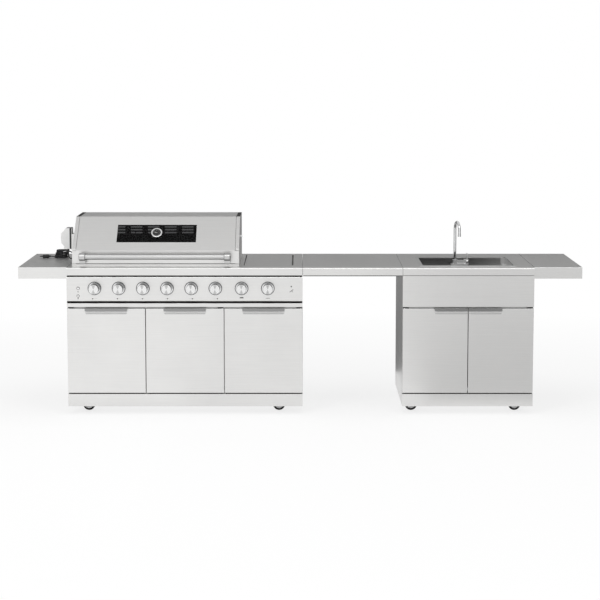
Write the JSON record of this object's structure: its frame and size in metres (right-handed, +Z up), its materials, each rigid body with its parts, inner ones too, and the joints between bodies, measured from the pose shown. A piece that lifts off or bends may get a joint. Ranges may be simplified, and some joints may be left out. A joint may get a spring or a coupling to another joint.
{
  "type": "outdoor kitchen",
  "caption": "Long stainless outdoor kitchen on casters: hooded gas grill with rotisserie and side burner, bridge counter, sink cabinet with swivel faucet, and end shelves.",
  "frame": {"origin": "centre of the footprint on the floor", "axes": "+X along the counters to the right as seen from the front, +Y to the back, +Z up"},
  "size_m": [3.46, 0.662, 1.203],
  "materials": {
    "brushed_steel": "brushed along the sheet's long side",
    "spun_steel": "turned face with fine rings",
    "polished_chrome": "polished",
    "caster_steel": "zinc plated",
    "caster_rubber": "matt rubber",
    "dark_enamel": "heat-proof enamel",
    "valve_metal": "cast and machined",
    "cast_iron": "seasoned",
    "window_glass": "heat-proof, clear",
    "motor_housing": "satin",
    "cord_rubber": "matt"
  },
  "bodies": {
    "kitchen_frame": {"grill_cabinet_panels": "brushed_steel", "sink_cabinet_panels": "brushed_steel", "base_pans": "brushed_steel", "grill_face_frame": "brushed_steel", "sink_apron": "brushed_steel", "caster_mounts": "caster_steel", "side_shelves": "brushed_steel", "bridge_counter": "brushed_steel", "grill_counter": "brushed_steel", "sink_counter": "brushed_steel", "control_panel": "brushed_steel", "knob_bezels": "polished_chrome", "gas_manifold": "valve_metal", "firebox": "dark_enamel", "gas_burners": "brushed_steel", "flame_tamers": "brushed_steel", "cooking_grates": "cast_iron", "hood_surround": "brushed_steel", "rotisserie_motor": "motor_housing", "side_burner": "dark_enamel", "sink_bowl": "brushed_steel", "faucet_body": "polished_chrome", "power_cord": "cord_rubber", "cord_hank": "cord_rubber", "power_plug": "cord_rubber"},
    "grill_door_left": {"grill_door_left": "brushed_steel"},
    "grill_door_middle": {"grill_door_middle": "brushed_steel"},
    "grill_door_right": {"grill_door_right": "brushed_steel"},
    "sink_door_left": {"sink_door_left": "brushed_steel"},
    "sink_door_right": {"sink_door_right": "brushed_steel"},
    "hood_lid": {"lid_shell": "brushed_steel", "lid_window": "window_glass", "lid_thermometer": "spun_steel", "lid_handle": "brushed_steel"},
    "knob_1": {"knob_1": "spun_steel"},
    "knob_2": {"knob_2": "spun_steel"},
    "knob_3": {"knob_3": "spun_steel"},
    "knob_4": {"knob_4": "spun_steel"},
    "knob_5": {"knob_5": "spun_steel"},
    "knob_6": {"knob_6": "spun_steel"},
    "knob_7": {"knob_7": "spun_steel"},
    "knob_8": {"knob_8": "spun_steel"},
    "light_button": {"light_button": "spun_steel"},
    "burner_lid": {"burner_lid": "brushed_steel"},
    "spit_rod": {"spit_rod": "polished_chrome"},
    "faucet_spout": {"faucet_spout": "polished_chrome"},
    "faucet_lever": {"faucet_lever": "polished_chrome"},
    "caster_fork_grill_left": {"caster_fork_grill_left": "caster_steel"},
    "front_wheel_grill_left": {"front_wheel_grill_left": "caster_rubber"},
    "rear_wheel_grill_left": {"rear_wheel_grill_left": "caster_rubber"},
    "caster_fork_grill_right": {"caster_fork_grill_right": "caster_steel"},
    "front_wheel_grill_right": {"front_wheel_grill_right": "caster_rubber"},
    "rear_wheel_grill_right": {"rear_wheel_grill_right": "caster_rubber"},
    "caster_fork_sink_left": {"caster_fork_sink_left": "caster_steel"},
    "front_wheel_sink_left": {"front_wheel_sink_left": "caster_rubber"},
    "rear_wheel_sink_left": {"rear_wheel_sink_left": "caster_rubber"},
    "caster_fork_sink_right": {"caster_fork_sink_right": "caster_steel"},
    "front_wheel_sink_right": {"front_wheel_sink_right": "caster_rubber"},
    "rear_wheel_sink_right": {"rear_wheel_sink_right": "caster_rubber"}
  },
  "joints": [
    {"name": "grill_door_left_hinge", "type": "hinge", "parent": "kitchen_frame", "child": "grill_door_left", "pos_m": [-1.421, -0.274, 0.397], "axis": [0, 0, 1], "range_deg": [-100, 0]},
    {"name": "grill_door_middle_hinge", "type": "hinge", "parent": "kitchen_frame", "child": "grill_door_middle", "pos_m": [-0.479, -0.274, 0.397], "axis": [0, 0, 1], "range_deg": [0, 100]},
    {"name": "grill_door_right_hinge", "type": "hinge", "parent": "kitchen_frame", "child": "grill_door_right", "pos_m": [0.004, -0.274, 0.397], "axis": [0, 0, 1], "range_deg": [0, 100]},
    {"name": "sink_door_left_hinge", "type": "hinge", "parent": "kitchen_frame", "child": "sink_door_left", "pos_m": [0.64, -0.274, 0.397], "axis": [0, 0, 1], "range_deg": [-100, 0]},
    {"name": "sink_door_right_hinge", "type": "hinge", "parent": "kitchen_frame", "child": "sink_door_right", "pos_m": [1.424, -0.274, 0.397], "axis": [0, 0, 1], "range_deg": [0, 100]},
    {"name": "hood_lid_hinge", "type": "hinge", "parent": "kitchen_frame", "child": "hood_lid", "pos_m": [-0.8905, 0.181, 0.95], "axis": [-1, 0, 0], "range_deg": [0, 90]},
    {"name": "knob_1_turn", "type": "hinge", "parent": "kitchen_frame", "child": "knob_1", "pos_m": [-1.261, -0.309, 0.786], "axis": [0, -1, 0], "range_deg": [0, 225]},
    {"name": "knob_2_turn", "type": "hinge", "parent": "kitchen_frame", "child": "knob_2", "pos_m": [-1.1128, -0.309, 0.786], "axis": [0, -1, 0], "range_deg": [0, 225]},
    {"name": "knob_3_turn", "type": "hinge", "parent": "kitchen_frame", "child": "knob_3", "pos_m": [-0.9646, -0.309, 0.786], "axis": [0, -1, 0], "range_deg": [0, 225]},
    {"name": "knob_4_turn", "type": "hinge", "parent": "kitchen_frame", "child": "knob_4", "pos_m": [-0.8164, -0.309, 0.786], "axis": [0, -1, 0], "range_deg": [0, 225]},
    {"name": "knob_5_turn", "type": "hinge", "parent": "kitchen_frame", "child": "knob_5", "pos_m": [-0.6682, -0.309, 0.786], "axis": [0, -1, 0], "range_deg": [0, 225]},
    {"name": "knob_6_turn", "type": "hinge", "parent": "kitchen_frame", "child": "knob_6", "pos_m": [-0.52, -0.309, 0.786], "axis": [0, -1, 0], "range_deg": [0, 225]},
    {"name": "knob_7_turn", "type": "hinge", "parent": "kitchen_frame", "child": "knob_7", "pos_m": [-0.35925, -0.309, 0.786], "axis": [0, -1, 0], "range_deg": [0, 225]},
    {"name": "knob_8_turn", "type": "hinge", "parent": "kitchen_frame", "child": "knob_8", "pos_m": [-0.1985, -0.309, 0.786], "axis": [0, -1, 0], "range_deg": [0, 225]},
    {"name": "light_button_press", "type": "slide", "parent": "kitchen_frame", "child": "light_button", "axis": [0, 1, 0], "range_m": [0, 0.003], "stiffness_N_per_m": 400},
    {"name": "burner_lid_lift", "type": "slide", "parent": "kitchen_frame", "child": "burner_lid", "axis": [0, 0, 1], "range_m": [0, 0.12]},
    {"name": "spit_turn", "type": "hinge", "parent": "kitchen_frame", "child": "spit_rod", "pos_m": [-0.8905, -0.039, 1.078], "axis": [1, 0, 0], "continuous": true},
    {"name": "faucet_spout_swing", "type": "hinge", "parent": "kitchen_frame", "child": "faucet_spout", "pos_m": [0.992, 0.121, 0.9], "axis": [0, 0, 1], "range_deg": [-100, 80]},
    {"name": "faucet_lever_tilt", "type": "hinge", "parent": "kitchen_frame", "child": "faucet_lever", "pos_m": [1.07, 0.121, 0.899], "axis": [1, 0, 0], "range_deg": [0, 75]},
    {"name": "caster_fork_grill_left_swivel", "type": "hinge", "parent": "kitchen_frame", "child": "caster_fork_grill_left", "pos_m": [-1.302, -0.169, 0.095], "axis": [0, 0, 1], "continuous": true},
    {"name": "front_wheel_grill_left_roll", "type": "hinge", "parent": "caster_fork_grill_left", "child": "front_wheel_grill_left", "pos_m": [-1.319, -0.169, 0.0375], "axis": [0, 1, 0], "continuous": true},
    {"name": "rear_wheel_grill_left_roll", "type": "hinge", "parent": "kitchen_frame", "child": "rear_wheel_grill_left", "pos_m": [-1.302, 0.211, 0.0375], "axis": [0, 1, 0], "continuous": true},
    {"name": "caster_fork_grill_right_swivel", "type": "hinge", "parent": "kitchen_frame", "child": "caster_fork_grill_right", "pos_m": [-0.115, -0.169, 0.095], "axis": [0, 0, 1], "continuous": true},
    {"name": "front_wheel_grill_right_roll", "type": "hinge", "parent": "caster_fork_grill_right", "child": "front_wheel_grill_right", "pos_m": [-0.132, -0.169, 0.0375], "axis": [0, 1, 0], "continuous": true},
    {"name": "rear_wheel_grill_right_roll", "type": "hinge", "parent": "kitchen_frame", "child": "rear_wheel_grill_right", "pos_m": [-0.115, 0.211, 0.0375], "axis": [0, 1, 0], "continuous": true},
    {"name": "caster_fork_sink_left_swivel", "type": "hinge", "parent": "kitchen_frame", "child": "caster_fork_sink_left", "pos_m": [0.709, -0.169, 0.095], "axis": [0, 0, 1], "continuous": true},
    {"name": "front_wheel_sink_left_roll", "type": "hinge", "parent": "caster_fork_sink_left", "child": "front_wheel_sink_left", "pos_m": [0.692, -0.169, 0.0375], "axis": [0, 1, 0], "continuous": true},
    {"name": "rear_wheel_sink_left_roll", "type": "hinge", "parent": "kitchen_frame", "child": "rear_wheel_sink_left", "pos_m": [0.709, 0.211, 0.0375], "axis": [0, 1, 0], "continuous": true},
    {"name": "caster_fork_sink_right_swivel", "type": "hinge", "parent": "kitchen_frame", "child": "caster_fork_sink_right", "pos_m": [1.355, -0.169, 0.095], "axis": [0, 0, 1], "continuous": true},
    {"name": "front_wheel_sink_right_roll", "type": "hinge", "parent": "caster_fork_sink_right", "child": "front_wheel_sink_right", "pos_m": [1.338, -0.169, 0.0375], "axis": [0, 1, 0], "continuous": true},
    {"name": "rear_wheel_sink_right_roll", "type": "hinge", "parent": "kitchen_frame", "child": "rear_wheel_sink_right", "pos_m": [1.355, 0.211, 0.0375], "axis": [0, 1, 0], "continuous": true}
  ]
}
